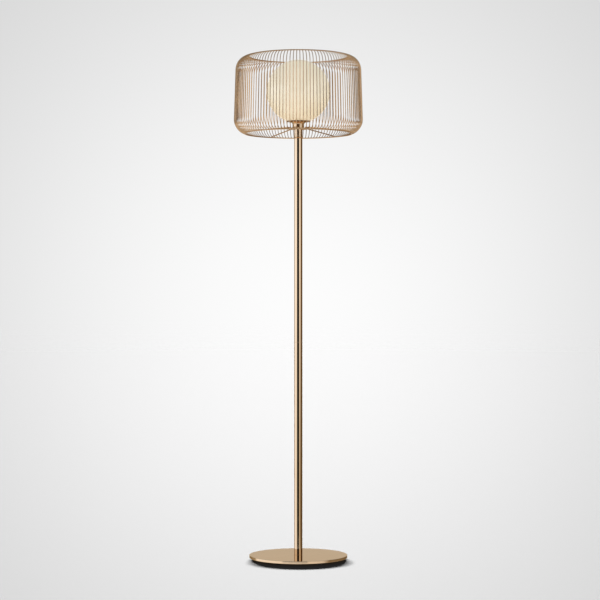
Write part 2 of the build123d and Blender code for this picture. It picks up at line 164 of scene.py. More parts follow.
def make_piece(name, grids, material, body, slot, *nodes):
    """One mesh from grids of points, each (copies, rows, columns, 3): four neighbours span a
    face. Points that meet at a pole or a seam are merged, and the faces turned outwards."""
    places, faces, count = [], [], 0
    for grid in grids:
        grid = grid.reshape(-1, *grid.shape[-3:])
        index = count + np.arange(grid.size // 3).reshape(grid.shape[:-1])
        quads = index[:, :-1, :-1], index[:, :-1, 1:], index[:, 1:, 1:], index[:, 1:, :-1]
        faces.append(np.stack(quads, -1).reshape(-1, 4))
        places.append(grid.reshape(-1, 3))
        count += grid.size // 3
    mesh = bpy.data.meshes.new(name)
    mesh.from_pydata(np.concatenate(places).tolist(), [], np.concatenate(faces).tolist())
    work = bmesh.new()
    work.from_mesh(mesh)
    bmesh.ops.remove_doubles(work, verts=work.verts, dist=1e-6)
    bmesh.ops.recalc_face_normals(work, faces=work.faces)
    work.to_mesh(mesh)
    work.free()
    mesh.shade_smooth()
    mesh.set_sharp_from_angle(angle=sharp_edge)
    mesh.materials.append(material)
    piece = bpy.data.objects.new(name, mesh)
    bpy.context.scene.collection.objects.link(piece)
    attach(piece, body)
    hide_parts(*nodes)


plate_gold = gold_plating(
    "ring_polished_gold_plate", french_gold, plate_roughness, "rings", ring_mark
)
plate_disc = lathed(
    240,
    (plate_bore, plate_high.z, counterbore_round),
    (plate_radius, plate_high.z, plate_round),
    (plate_radius, plate_low.z, plate_round),
    (counterbore_radius, plate_low.z, counterbore_round),
    (counterbore_radius, counterbore_top, 0),
    (plate_bore, counterbore_top, counterbore_round),
)
make_piece("plate_disc", [plate_disc], plate_gold, "lamp", "plated_steel", "base_plate")

# ================================================================ feet
# Six glued buttons of black rubber hold the plate off the floor. Each is moulded with a
# rounded edge and a shallow dish underneath, which grips a smooth floor.
foot_low, foot_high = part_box("base_feet")
foot_radius = 0.009
foot_circle = foot_high.x - foot_radius
foot_count = 6
foot_glued_edge = 0.0003
foot_round = 0.0014
foot_dish = 0.0006
foot_dish_radius = 0.0055
foot_dish_round = 0.0004
rubber_grit = 0.0006
rubber_grit_height = 0.00006


def moved(grid, *places):
    """Copies of a grid, one at each place."""
    return grid + np.asarray(places, float)[:, None, None, :]


def evenly(count, first=0.0):
    """The angles of so many like pieces about the lamp's axis, shaped to turn whole grids."""
    return first + np.arange(count)[:, None, None] * 2 * np.pi / count


def spun(grid, turns):
    """Points turned about +Z by the angle for each: (x cos - y sin, x sin + y cos, z)."""
    x, y, z = np.moveaxis(grid, -1, 0)
    return points(x * np.cos(turns) - y * np.sin(turns), x * np.sin(turns) + y * np.cos(turns), z)


def grained(name, constants, grain, tones=None, roughness=None, height=None):
    """A finish with one grain, a noise of its real size. As far as they are given, the grain
    mixes two tones, varies the shine from least to most roughness, and raises the skin."""
    material, tree, shader, place = new_finish(name, constants)
    noise = add_node(tree, "ShaderNodeTexNoise", {"Vector": place, "Scale": 1 / grain})
    if tones:
        pair = {0: noise, 6: linear(tones[0]), 7: linear(tones[1])}
        tone = add_node(tree, "ShaderNodeMix", pair, data_type="RGBA")
        feed(tree, shader, {"Base Color": tone})
    if roughness:
        spread = {0: noise, 3: roughness[0], 4: roughness[1]}
        feed(tree, shader, {"Roughness": add_node(tree, "ShaderNodeMapRange", spread)})
    if height:
        bump = add_node(tree, "ShaderNodeBump", {"Height": noise, "Distance": height})
        feed(tree, shader, {"Normal": bump})
    return material


# Matt black rubber: a fine leathery grain, and a grey bloom in its hollows.
black_rubber = grained(
    "moulded_black_rubber",
    {"Roughness": 0.7, "Specular IOR Level": 0.35},
    rubber_grit,
    tones=("#171615", "#2E2C2B"),
    height=rubber_grit_height,
)
foot_profile = rounded(
    (0, plate_low.z, 0),
    (foot_radius, plate_low.z, foot_glued_edge),
    (foot_radius, foot_low.z, foot_round),
    (foot_dish_radius, foot_low.z, foot_dish_round),
    (foot_dish_radius - foot_dish, foot_low.z + foot_dish, foot_dish_round),
    (0, foot_low.z + foot_dish, 0),
)
one_foot = moved(turned(foot_profile, 40), (foot_circle, 0, 0))
feet = spun(one_foot, evenly(foot_count))
make_piece("foot_buttons", [feet], black_rubber, "lamp", "black_rubber", "base_feet")

# ================================================================ base bolt and washers
# A zinc plated M10 hexagon bolt, a plain washer and a toothed lock washer, in the counterbore.
# Zinc is bluish, with a faint spangle, and bright only where a spanner has rubbed it.
bolt_low, bolt_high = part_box("base_bolt")
bolt_radius = 0.005
bolt_flat = 0.0085  # from the axis to a flat of the head
bolt_head = 0.005
bolt_chamfer = 0.0009
bolt_pitch = 0.0015
bolt_groove = 0.00045
thread_run_out = 0.0008
zinc_tones = "#C6CCCF", "#A9B0B4"
zinc_roughness = 0.22, 0.38
zinc_spangle = 0.0016


def zinc_plating(name, tones, roughness, spangle):
    """Bright zinc: pale blue grey metal with small crystals of slightly other tone and shine."""
    material, tree, shader, place = new_finish(name, {"Metallic": 1.0})
    crystals = add_node(tree, "ShaderNodeTexVoronoi", {"Vector": place, "Scale": 1 / spangle})
    each = add_node(tree, "ShaderNodeSeparateColor", {0: crystals.outputs["Color"]}).outputs
    pair = {0: each[0], 6: linear(tones[0]), 7: linear(tones[1])}
    tone = add_node(tree, "ShaderNodeMix", pair, data_type="RGBA")
    shine = add_node(tree, "ShaderNodeMapRange", {0: each[1], 3: roughness[0], 4: roughness[1]})
    feed(tree, shader, {"Base Color": tone, "Roughness": shine})
    return material


def dress(material, *nodes):
    """Gives a finish to pieces of the frame whose shape is right as it is."""
    for node in nodes:
        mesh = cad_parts[node].data
        mesh.materials.clear()
        mesh.materials.append(material)


def hexagonal(profile, flat, sides):
    """A turned profile whose radius is held inside a hexagon: at angle a, the hexagon is
    flat / cos(a') from the axis, where a' is a less the nearest multiple of 60 degrees."""
    grid = turned(profile, sides)
    angle = np.linspace(0, 2 * np.pi, sides + 1)
    near = (angle + np.pi / 6) % (np.pi / 3) - np.pi / 6
    radius = np.hypot(grid[..., 0], grid[..., 1])
    share = np.minimum(radius, flat / np.cos(near)) / np.maximum(radius, 1e-9)
    grid[..., :2] *= share[..., None]
    return grid


def threaded(low, high, radius, pitch, depth, sides, run):
    """A screw thread: at height z and angle a the radius is r - d(1 + cos(2 pi z / p - a)) / 2,
    and the groove fades out within a short run at both ends."""
    steps = int((high - low) / pitch * 8)
    z = np.linspace(low, high, steps + 1)[:, None]
    angle = np.linspace(0, 2 * np.pi, sides + 1)
    fade = np.clip(np.minimum(z - low, high - z) / run, 0, 1)
    radius = radius - fade * depth * (1 + np.cos(2 * np.pi * z / pitch - angle)) / 2
    return points(radius * np.cos(angle), radius * np.sin(angle), z)


def capped(grid):
    """A tube shaped grid closed at both ends by a point in the middle of each end ring."""
    middle = grid[[0, -1]].mean(axis=1, keepdims=True) * np.ones((1, grid.shape[1], 1))
    return np.concatenate([middle[:1], grid, middle[1:]])


zinc = zinc_plating("bright_zinc_plating", zinc_tones, zinc_roughness, zinc_spangle)
head_top = bolt_low.z + bolt_head
across_corners = bolt_flat / np.cos(np.pi / 6)
head_profile = [
    (0, bolt_low.z),
    (across_corners - 3 * bolt_chamfer, bolt_low.z),
    (across_corners, bolt_low.z + bolt_chamfer),
    (across_corners, head_top),
    (0, head_top),
]
shank = threaded(
    head_top, bolt_high.z, bolt_radius, bolt_pitch, bolt_groove, 40, thread_run_out
)
bolt = [hexagonal(head_profile, bolt_flat, 120), capped(shank)]
make_piece("plate_bolt", bolt, zinc, "lamp", "zinc_steel", "base_bolt")
dress(zinc, "base_washer", "lock_washer", "foot_plug")

# ================================================================ pole
# Two lengths of one inch steel tube, polished along a belt until they mirror and plated like
# the plate. They are screwed end to end, so the eye finds only a hairline where they meet.
pole_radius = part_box("pole_upper")[1].x
tube_wall = 0.0012
tube_end = 0.00035
pole_roughness = 0.035, 0.07
hoop_mark = 0.0013  # as coarse as the plate's, to show


def tube(low, high, radius, wall, end):
    """A length of tube: a rectangle of the wall's thickness, its corners rounded, turned."""
    inner = radius - wall
    outside = (radius, low, end), (radius, high, end)
    return lathed(96, *outside, (inner, high, end), (inner, low, end))


pole_gold = gold_plating(
    "belt_polished_gold_plate", french_gold, pole_roughness, "hoops", hoop_mark
)
for name, node in (("pole_tube_lower", "pole_lower"), ("pole_tube_upper", "pole_upper")):
    low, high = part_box(node)
    length = tube(low.z, high.z, pole_radius, tube_wall, tube_end)
    make_piece(name, [length], pole_gold, "lamp", "plated_steel", node)
dress(zinc, "joint_bush_lower", "joint_bush_upper", "joint_nipple", "pole_top_bush")
dress(black_rubber, "cord_bushing")

# ================================================================ lead
# A round lead in a smooth dark PVC sheath, from the lampholder down inside the pole to the
# bushing. PVC is soft, so it has a dull shine and a slightly uneven skin.
sheath_colour = "#242220"
sheath_roughness = 0.35, 0.5
sheath_wave = 0.004
sheath_wave_height = 0.0001

# Satin PVC: a slow unevenness from the extruder in its shine and its skin.
sheath = grained(
    "extruded_dark_pvc",
    {"Base Color": linear(sheath_colour)},
    sheath_wave,
    roughness=sheath_roughness,
    height=sheath_wave_height,
)
dress(sheath, "inner_lead")

# ================================================================ sleeve, stem and hub
# A short turned sleeve stands on the pole, and a sheet steel disc on the sleeve carries the
# cage. A hollow threaded stem runs up through all of them, and a nut draws them together.
sleeve_low, sleeve_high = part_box("coupling_sleeve")
sleeve_end = 0.0004
stem_bore = 0.00505
hub_low, hub_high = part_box("spider_hub")
hub_edge = 0.0011

sleeve = tube(sleeve_low.z, sleeve_high.z, pole_radius, pole_radius - stem_bore, sleeve_end)
make_piece("turned_sleeve", [sleeve], pole_gold, "lamp", "plated_brass", "coupling_sleeve")
hub_disc = lathed(
    120,
    (stem_bore, hub_low.z, 0),
    (hub_high.x, hub_low.z, hub_edge),
    (hub_high.x, hub_high.z, hub_edge),
    (stem_bore, hub_high.z, 0),
)
make_piece("hub_disc", [hub_disc], plate_gold, "lamp", "plated_steel", "spider_hub")
dress(zinc, "stem_nipple", "stem_nut")

# ================================================================ cage rings and arms
# Two hoops of round bar, butt welded, and five arms that are welded on the hub and rest on
# the bottom hoop. Their plating has more copper in it and is less polished than the pole's.
bottom_low, bottom_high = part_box("bottom_ring")
top_low, top_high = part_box("top_ring")
ring_rod = (bottom_high.z - bottom_low.z) / 2
bottom_radius, bottom_z = bottom_high.x - ring_rod, bottom_low.z + ring_rod
top_radius, top_z = top_high.x - ring_rod, top_low.z + ring_rod
arm_rod = 0.00175
arm_count = 5
arm_first = np.radians(48)
arm_inner = 0.0235
arm_bend = 0.034
arm_bend_round = 0.012
arm_seat = hub_high.z + arm_rod
arm_foot = bottom_z + ring_rod + arm_rod * 0.8  # pressed a little way into the hoop
hub_bead_place = arm_inner + 0.004, hub_high.z
hub_bead = 0.005, 0.0032, 0.0016  # half axes
hoop_bead = 0.0026, 0.0032, 0.0018
wire_gold = "#DDBF9C", "#CEAB85", "#E2D2BB"  # as plated, worn, and at a glancing angle
wire_roughness = 0.091, 0.169
wire_mark = 0.0007  # real marks of the die are finer
wire_mark_height = 0.000004
wire_cloud = 0.0333


def arc(radius, first, last, steps):
    """Points of an arc about (0, 0), from its first angle to its last."""
    a = np.linspace(first, last, steps + 1)
    return radius * np.stack([np.cos(a), np.sin(a)], -1)


def bent(*corners):
    """An open path, from corners as a profile's. Its ends have no rounding, so of the eight
    points that each corner gives, one is enough there."""
    return rounded(*corners)[7:-7]


def carried(section, path):
    """A closed section carried along a path of radius and height, in the plane y = 0. At each
    point it stands square to the mean of the two runs beside it, and each end is closed."""
    runs = np.diff(path, axis=0)
    runs /= np.linalg.norm(runs, axis=1, keepdims=True)
    along = np.concatenate([runs[:1], runs[:-1] + runs[1:], runs[-1:]])
    along /= np.linalg.norm(along, axis=1, keepdims=True)
    across, y = section.T
    return capped(
        points(path[:, :1] + along[:, 1:] * across, y, path[:, 1:] - along[:, :1] * across)
    )


def weld_bead(place, size):
    """A bead of weld metal: an egg with its three half axes, (a cos u cos v, b cos u sin v,
    c sin u), about its place in the plane y = 0."""
    u, v = np.linspace(-np.pi / 2, np.pi / 2, 7)[:, None], np.linspace(0, 2 * np.pi, 9)
    egg = points(np.cos(u) * np.cos(v), np.cos(u) * np.sin(v), np.sin(u))
    return egg * size + (place[0], 0, place[1])


def drawn_wire_gold(name, colours, roughness, mark, cloud):
    """Plating over drawn wire: a satin shine, a redder tone where the plating ran thin, and
    faint marks of the drawing die."""
    plated, worn, glancing = map(linear, colours)
    constants = {"Metallic": 1.0, "Specular Tint": glancing}
    material, tree, shader, place = new_finish(name, constants)
    marks = add_node(tree, "ShaderNodeTexNoise", {"Vector": place, "Scale": 1 / mark})
    clouds = add_node(tree, "ShaderNodeTexNoise", {"Vector": place, "Scale": 1 / cloud})
    tone = add_node(tree, "ShaderNodeMix", {0: clouds, 6: plated, 7: worn}, data_type="RGBA")
    shine = add_node(tree, "ShaderNodeMapRange", {0: marks, 3: roughness[0], 4: roughness[1]})
    bump = add_node(tree, "ShaderNodeBump", {"Height": marks, "Distance": wire_mark_height})
    feed(tree, shader, {"Base Color": tone, "Roughness": shine, "Normal": bump})
    return material


cage_gold = drawn_wire_gold(
    "satin_copper_gold_wire", wire_gold, wire_roughness, wire_mark, wire_cloud
)
for name, node, middle in (
    ("bottom_hoop", "bottom_ring", (bottom_radius, bottom_z)),
    ("top_hoop", "top_ring", (top_radius, top_z)),
):
    hoop = turned(arc(ring_rod, 0, 2 * np.pi, 16) + middle, 200)
    make_piece(name, [hoop], cage_gold, "lamp", "plated_wire", node)

arm_path = bent(
    (arm_inner, arm_seat, 0), (arm_bend, arm_seat, arm_bend_round), (bottom_radius, arm_foot, 0)
)
arm_parts = [
    carried(arc(arm_rod, 0, 2 * np.pi, 14), arm_path),
    weld_bead(hub_bead_place, hub_bead),
    weld_bead((bottom_radius, bottom_z + ring_rod), hoop_bead),
]
arms = [spun(part, evenly(arm_count, arm_first)) for part in arm_parts]
make_piece("spider_rods", arms, cage_gold, "lamp", "plated_wire", "spider_arms")

# ================================================================ cage wires
# 120 wires, each bent round a former into a C and welded by its ends to the two hoops. No wire
# stands where an arm does. Hand bending leaves them a little uneven.
wire_count = 120
wire_radius = 0.0011
wire_sink = 0.0007  # how far a wire's end is sunk in its hoop
wire_bead = 0.0019, 0.0021, 0.0019
drum_low_radius = 0.199
drum_high_radius = 0.194
corner_low = 0.045
corner_high = 0.042
corner_steps = 8
lean = np.radians(0.10)
spring_back = 0.0004


def end_angle(ring_radius, drum_radius, corner_radius, rod):
    """Where a corner's arc reaches the skin and the middle of its hoop, seen from the corner's
    centre."""
    meets = np.arccos((ring_radius - drum_radius + corner_radius) / corner_radius)
    return meets - 2 * np.arcsin((rod - wire_sink) / (2 * corner_radius)), meets


low_end, low_meets = end_angle(bottom_radius, drum_low_radius, corner_low, ring_rod)
high_end, high_meets = end_angle(top_radius, drum_high_radius, corner_high, ring_rod)
low_centre = drum_low_radius - corner_low, bottom_z + corner_low * np.sin(low_meets)
high_centre = drum_high_radius - corner_high, top_z - corner_high * np.sin(high_meets)
low_corner = arc(corner_low, -low_end, 0, corner_steps) + low_centre
high_corner = arc(corner_high, 0, high_end, corner_steps) + high_centre
wire_path = np.concatenate([low_corner, high_corner])
wire_turns = evenly(wire_count, arm_first + np.pi / wire_count)

# The middle of each wire has sprung in or out, and leans to one side, by chance.
chance = np.random.default_rng(7)
one_wire = carried(arc(wire_radius, 0, 2 * np.pi, 8), wire_path)
rise = (one_wire[..., 2] - bottom_z) / (top_z - bottom_z)
bow = np.sin(np.pi * np.clip(rise, 0, 1))
wires = np.repeat(one_wire[None], wire_count, 0)
wires[..., 0] += bow * chance.normal(0, spring_back, wire_count)[:, None, None]
leaning = chance.normal(0, lean, wire_count)[:, None, None] * bow
cage = [
    spun(wires, wire_turns + leaning),
    spun(weld_bead(wire_path[0], wire_bead), wire_turns),
    spun(weld_bead(wire_path[-1], wire_bead), wire_turns),
]
make_piece("cage_of_wires", cage, cage_gold, "lamp", "plated_wire", "cage_wires")

# ================================================================ neck cup and gallery
# A turned brass cup, flared at its top, stands on the hub and hides the nut. The gallery on it
# is a spun steel dish with a step, where the glass sits on a ring of clear silicone.
cup_low, cup_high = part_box("neck_cup")
cup_radius = 0.018
cup_wall = 0.0014
cup_waist = cup_high.z - 0.0055  # where the flare begins
cup_foot_round = 0.0006
cup_lip_round = 0.0003
cup_flare_round = 0.005
cup_inner_flare_round = 0.004
gallery_low, gallery_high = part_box("gallery_plate")
gallery_sheet = 0.001
gallery_floor = 0.027
gallery_seat = 0.029
gallery_edge = 0.00045
gallery_outer_bend = 0.0015
gallery_inner_bend = 0.0005
gasket_low, gasket_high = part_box("gallery_gasket")
gasket_wall = gasket_high.x - 0.0304
gasket_round = 0.0004
spun_gold = "#C79F76", "#B58A61", "#A98F70"  # as plated, worn, and at a glancing angle
spun_roughness = 0.084, 0.168
silicone_dust = 0.00111
silicone_depth = 0.003  # how far light goes into it

cup = lathed(
    96,
    (stem_bore, cup_low.z, 0),
    (cup_radius, cup_low.z, cup_foot_round),
    (cup_radius, cup_waist, cup_flare_round),
    (cup_high.x, cup_high.z, cup_lip_round),
    (cup_high.x - cup_wall, cup_high.z, cup_lip_round),
    (cup_radius - cup_wall, cup_waist, cup_inner_flare_round),
    (cup_radius - cup_wall, cup_low.z + cup_wall, cup_foot_round),
    (stem_bore, cup_low.z + cup_wall, 0),
)
make_piece("flared_cup", [cup], pole_gold, "lamp", "plated_brass", "neck_cup")
gallery = lathed(
    120,
    (stem_bore, gallery_low.z, 0),
    (gallery_floor, gallery_low.z, gallery_outer_bend),
    (gallery_seat, gallery_high.z - gallery_sheet, gallery_inner_bend),
    (gallery_high.x, gallery_high.z - gallery_sheet, gallery_edge),
    (gallery_high.x, gallery_high.z, gallery_edge),
    (gallery_seat, gallery_high.z, gallery_outer_bend),
    (gallery_floor, gallery_low.z + gallery_sheet, gallery_inner_bend),
    (stem_bore, gallery_low.z + gallery_sheet, 0),
)
gallery_gold = gold_plating("spun_gold_plate", spun_gold, spun_roughness, "rings", ring_mark)
make_piece("gallery_dish", [gallery], gallery_gold, "lamp", "plated_steel", "gallery_plate")

# Clear silicone: milky, and it passes some light, with dust held on its skin.
silicone = grained(
    "cast_clear_silicone",
    {"Roughness": 0.35, "Subsurface Weight": 0.4, "Subsurface Radius": [silicone_depth] * 3},
    silicone_dust,
    tones=("#E7E4DC", "#CFCBC2"),
)
gasket = tube(gasket_low.z, gasket_high.z, gasket_high.x, gasket_wall, gasket_round)
make_piece("silicone_ring", [gasket], silicone, "lamp", "clear_silicone", "gallery_gasket")

# ================================================================ globe springs
# Three leaf springs stamped from hard brass strip and riveted to the gallery. Their bulge
# grips the mouth of the glass from inside. Brass from the roll is bright, with long faint lines.
spring_count = 3
spring_first = np.radians(90)
spring_width = 0.007
spring_sheet = 0.0005
spring_edge = 0.0002
spring_foot = 0.0216
spring_heel = 0.0254
spring_heel_round = 0.0012
spring_bulge = 0.02945
spring_bulge_rise = 0.008
spring_bulge_round = 0.002
spring_rise = 0.017
spring_z = gallery_low.z + gallery_sheet + spring_sheet / 2
rivet_low, rivet_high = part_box("spring_rivets")
rivet_place = 0.0233
rivet_head = 0.0018
rivet_shank = 0.00117
rivet_crown = 0.0009
brass_tones = "#E6C77E", "#C59A4E"
brass_roughness = 0.18, 0.34
brass_line = 0.000556  # width of a line of the rolling mill
brass_line_length = 0.00833


def rolled_brass(name, tones, roughness, line, length):
    """Bare brass strip: bright, with lines of the rolling mill and a little brown in them."""
    material, tree, shader, place = new_finish(name, {"Metallic": 1.0})
    size = {"Vector": place, "Scale": (1 / line, 1 / line, 1 / length)}
    stretch = add_node(tree, "ShaderNodeMapping", size)
    lines = add_node(tree, "ShaderNodeTexNoise", {"Vector": stretch, "Scale": 1.0})
    pair = {0: lines, 6: linear(tones[0]), 7: linear(tones[1])}
    tone = add_node(tree, "ShaderNodeMix", pair, data_type="RGBA")
    shine = add_node(tree, "ShaderNodeMapRange", {0: lines, 3: roughness[0], 4: roughness[1]})
    feed(tree, shader, {"Base Color": tone, "Roughness": shine})
    return material


brass = rolled_brass(
    "rolled_spring_brass", brass_tones, brass_roughness, brass_line, brass_line_length
)
spring_path = bent(
    (spring_foot, spring_z, 0),
    (spring_heel, spring_z, spring_heel_round),
    (spring_bulge, spring_z + spring_bulge_rise, spring_bulge_round),
    (spring_heel, spring_z + spring_rise, 0),
)
section = [
    (spring_sheet / 2 * x, spring_width / 2 * y, spring_edge)
    for x, y in ((-1, -1), (1, -1), (1, 1), (-1, 1))
]
strip = closed(rounded(*section, steps=2))
spring_turns = evenly(spring_count, spring_first)
springs = spun(carried(strip, spring_path), spring_turns)
make_piece("leaf_springs", [springs], brass, "lamp", "spring_brass", "globe_springs")
crown_foot = 0, rivet_high.z - rivet_crown
rivet_profile = np.concatenate(
    [
        [(0, rivet_low.z), (rivet_shank, rivet_low.z), (rivet_shank, crown_foot[1])],
        arc(1, 0, np.pi / 2, 5) * (rivet_head, rivet_crown) + crown_foot,
    ]
)
rivets = spun(moved(turned(rivet_profile, 24), (rivet_place, 0, 0)), spring_turns)
make_piece("spring_rivet_heads", [rivets], brass, "lamp", "spring_brass", "spring_rivets")

# ================================================================ lampholder
# A moulded white thermoset cap and body screwed together, with a glazed ceramic insert that
# holds the rolled brass screw shell and the sprung centre contact.
cap_low, cap_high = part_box("holder_cap")
body_low, body_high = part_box("holder_body")
shell_low, shell_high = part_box("screw_shell")
holder_wall = 0.002
holder_lip = 0.003
holder_round = 0.0006
holder_edge = 0.0003
holder_mouth_round = 0.0012
cap_base = 0.009
cap_base_round = 0.0015
cap_shoulder_round = 0.0025
cap_tighter = 0.0005  # the inner bends are tighter by this
cap_edge = 0.0002
cap_outer = body_high.x - holder_wall
rib_count = 36
rib_depth = 0.00035
shell_pitch = 0.00362
shell_sheet = 0.0003
shell_outer = shell_high.x - 0.0001
shell_inner = shell_outer - shell_sheet
shell_groove = 0.0005
shell_clear = 0.01335  # the bulb's cap passes inside this radius
thermoset_tones = "#F1EEE6", "#E9E0CC"
thermoset_roughness = 0.32, 0.48
thermoset_cloud = 0.0222
thermoset_grain = 0.00067
thermoset_grain_height = 0.00002
ceramic_tones = "#EEEADF", "#B9A68C"
ceramic_speck = 0.00143


def moulded_thermoset(name, tones, roughness):
    """White phenolic moulding: satin, faintly yellow where it has been warm, with an even grain."""
    material, tree, shader, place = new_finish(name, {"Specular IOR Level": 0.5})
    warm = add_node(tree, "ShaderNodeTexNoise", {"Vector": place, "Scale": 1 / thermoset_cloud})
    pair = {0: warm, 6: linear(tones[0]), 7: linear(tones[1])}
    tone = add_node(tree, "ShaderNodeMix", pair, data_type="RGBA")
    fine = {"Vector": place, "Scale": 1 / thermoset_grain}
    grain = add_node(tree, "ShaderNodeTexNoise", fine)
    shine = add_node(tree, "ShaderNodeMapRange", {0: grain, 3: roughness[0], 4: roughness[1]})
    skin = {"Height": grain, "Distance": thermoset_grain_height}
    bump = add_node(tree, "ShaderNodeBump", skin)
    feed(tree, shader, {"Base Color": tone, "Roughness": shine, "Normal": bump})
    return material


def fluted(grid, count, depth, low, high):
    """A turned surface with flutes: outside, between two heights, the radius falls by
    d(1 - cos(n a)) / 2, and the flutes fade in and out over a fifth of their height."""
    radius = np.hypot(grid[..., 0], grid[..., 1])
    angle = np.arctan2(grid[..., 1], grid[..., 0])
    to_end = np.minimum(grid[..., 2] - low, high - grid[..., 2])
    fade = np.clip(to_end / (0.2 * (high - low)), 0, 1)
    outside = radius > radius.max() - holder_wall / 2
    dip = depth * (1 - np.cos(count * angle)) / 2 * fade * outside
    grid = grid.copy()
    grid[..., :2] *= (1 - dip / np.maximum(radius, 1e-9))[..., None]
    return grid


thermoset = moulded_thermoset("moulded_white_thermoset", thermoset_tones, thermoset_roughness)
lower_shell = lathed(
    96,
    (stem_bore, cap_low.z, 0),
    (cap_base, cap_low.z, cap_base_round),
    (cap_outer, body_low.z - holder_wall, cap_shoulder_round),
    (cap_outer, cap_high.z, cap_edge),
    (cap_outer - holder_wall, cap_high.z, cap_edge),
    (cap_outer - holder_wall, body_low.z - holder_wall, cap_shoulder_round - cap_tighter),
    (cap_base, cap_low.z + holder_wall, cap_base_round - cap_tighter),
    (stem_bore, cap_low.z + holder_wall, 0),
)
make_piece(
    "holder_lower_shell", [lower_shell], thermoset, "lamp", "white_thermoset", "holder_cap"
)
flute_rows = np.linspace(body_low.z + holder_lip, body_high.z - holder_lip, 9)
body_rest = rounded(
    (body_high.x, body_high.z, holder_mouth_round),
    (shell_high.x, body_high.z, holder_round),
    (shell_high.x, body_high.z - holder_lip, holder_edge),
    (body_high.x - holder_wall, body_high.z - holder_lip, holder_round),
    (body_high.x - holder_wall, body_low.z, holder_edge),
    (body_high.x, body_low.z, holder_round),
)
body_profile = np.concatenate([[(body_high.x, z) for z in flute_rows], body_rest])
plain_body = turned(closed(body_profile), rib_count * 6)
upper_shell = fluted(plain_body, rib_count, rib_depth, flute_rows[0], flute_rows[-1])
make_piece(
    "holder_upper_shell", [upper_shell], thermoset, "lamp", "white_thermoset", "holder_body"
)


def glazed_steatite(name, tones, speck):
    """Glazed ceramic: dense and cream white under a wet looking glaze, with a few iron specks,
    which are only the peaks of a noise."""
    glaze = {"Roughness": 0.3, "Coat Weight": 0.7, "Coat Roughness": 0.05}
    material, tree, shader, place = new_finish(name, glaze)
    noise = add_node(tree, "ShaderNodeTexNoise", {"Vector": place, "Scale": 1 / speck})
    peaks = add_node(tree, "ShaderNodeMapRange", {0: noise, 1: 0.7, 2: 0.78})
    pair = {0: peaks, 6: linear(tones[0]), 7: linear(tones[1])}
    tone = add_node(tree, "ShaderNodeMix", pair, data_type="RGBA")
    feed(tree, shader, {"Base Color": tone})
    return material


dress(glazed_steatite("glazed_steatite", ceramic_tones, ceramic_speck), "holder_insert")
outer_thread, inner_thread = (
    threaded(shell_low.z, shell_high.z, radius, shell_pitch, groove, 72, shell_pitch)
    for radius, groove in ((shell_outer, shell_groove), (shell_inner, shell_inner - shell_clear))
)
screw_shell = np.concatenate([outer_thread, inner_thread[::-1], outer_thread[:1]])
make_piece("rolled_screw_shell", [screw_shell], brass, "lamp", "spring_brass", "screw_shell")
dress(brass, "centre_contact")

# ================================================================ bulb
# An LED bulb: a nickel plated screw cap and centre tip, a glossy white driver housing, and a
# frosted dome that spreads the light. It is lit, so the dome glows.
tip_low, tip_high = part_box("bulb_tip")
screw_low, screw_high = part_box("bulb_cap")
housing_low, housing_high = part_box("bulb_housing")
dome_low, dome_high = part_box("bulb_dome")
tip_radius = 0.005
tip_round = 0.0012
cap_groove = 0.0009
cap_crest = screw_high.x - 0.0001
cap_shoulder = 0.0095
cap_shoulder_height = 0.003
collar = 0.002
housing_edge = 0.0006
housing_swell = 0.8  # under 1, the housing widens sooner
nickel_tones = "#DAD6CB", "#BDB9AE"
nickel_roughness = 0.15, 0.3
nickel_mark = 0.00091
plastic_colour = "#F4F3F0"
plastic_roughness = 0.16, 0.26
plastic_wave = 0.00556
plastic_wave_height = 0.00004
diffuser_colour = "#F3EEE2"
frost_grain = 0.0004
frost_height = 0.00002
dome_light = "#FFE9C8"
dome_glow = 1.12, 1.6  # at its foot and at its crown


def frosted_diffuser(name, colour, grain, light, glow):
    """Frosted polycarbonate with light behind it: matt white, brightest at its crown."""
    constants = {"Base Color": linear(colour), "Roughness": 0.5, "Emission Color": linear(light)}
    material, tree, shader, place = new_finish(name, constants)
    frost = add_node(tree, "ShaderNodeTexNoise", {"Vector": place, "Scale": 1 / grain})
    bump = add_node(tree, "ShaderNodeBump", {"Height": frost, "Distance": frost_height})
    height = add_node(tree, "ShaderNodeSeparateXYZ", {0: place}).outputs[2]
    climb = {0: height, 1: dome_low.z, 2: dome_high.z, 3: glow[0], 4: glow[1]}
    strength = add_node(tree, "ShaderNodeMapRange", climb)
    feed(tree, shader, {"Emission Strength": strength, "Normal": bump})
    return material


# Nickel over brass: a warm grey metal with fine marks where it was rolled to its thread.
nickel = grained(
    "rolled_nickel_plate",
    {"Metallic": 1.0},
    nickel_mark,
    tones=nickel_tones,
    roughness=nickel_roughness,
)
tip_profile = bent(
    (0, tip_low.z, 0),
    (tip_radius, tip_low.z, tip_round),
    (cap_shoulder, tip_high.z, 0),
    (0, tip_high.z, 0),
)
tip = turned(tip_profile, 48)
make_piece("bulb_contact_tip", [tip], nickel, "bulb", "nickel_brass", "bulb_tip")
thread_low = screw_low.z + cap_shoulder_height
cap_thread = threaded(
    thread_low, screw_high.z, cap_crest, shell_pitch, cap_groove, 72, shell_pitch
)
cap_foot = turned([(0, screw_low.z), (cap_shoulder, screw_low.z)], 72)
cap_head = turned([(0, screw_high.z)], 72)
screw_cap = np.concatenate([cap_foot, cap_thread, cap_head])
make_piece("bulb_screw_cap", [screw_cap], nickel, "bulb", "nickel_brass", "bulb_cap")

